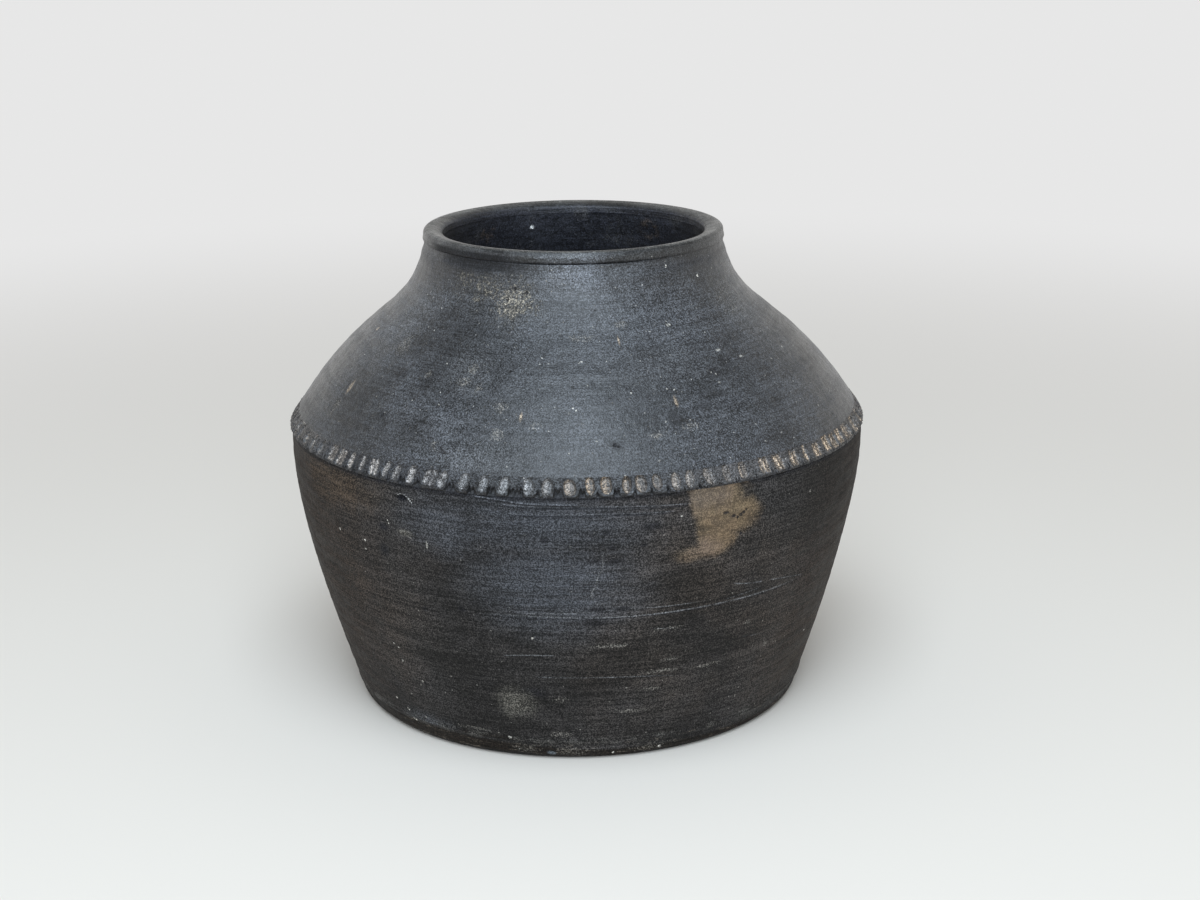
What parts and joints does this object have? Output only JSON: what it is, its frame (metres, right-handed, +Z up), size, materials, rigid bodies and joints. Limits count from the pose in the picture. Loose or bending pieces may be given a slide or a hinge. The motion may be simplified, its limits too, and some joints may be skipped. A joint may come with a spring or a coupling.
{
  "type": "clay urn",
  "caption": "Wide-mouthed, black burnished clay urn with a leaning lower wall, a rounded shoulder, a rolled rim and a notched band at the belly.",
  "frame": {"origin": "centre of the underside, on the surface that the urn stands on", "axes": "+Z up along the axis of the vessel, -Y towards the side that was pictured"},
  "size_m": [0.3006, 0.3006, 0.2462],
  "materials": {
    "base_clay": "matte black earthenware, worn at the heel",
    "wall_clay": "black smoked earthenware, satin, with fine turning lines and light grit",
    "burnished_clay": "black burnished earthenware, satin with a soft blue-grey sheen",
    "neck_clay": "black burnished earthenware with crumbs of pale lime",
    "rim_clay": "black earthenware worn to a softer grey on the rim",
    "band_clay": "black earthenware with pale grey and tan clay showing in the notches"
  },
  "bodies": {
    "root": {"base_slab": "base_clay", "lower_wall": "wall_clay", "shoulder_wall": "burnished_clay", "neck_collar": "neck_clay", "rim_roll": "rim_clay", "notched_band": "band_clay"}
  },
  "joints": []
}
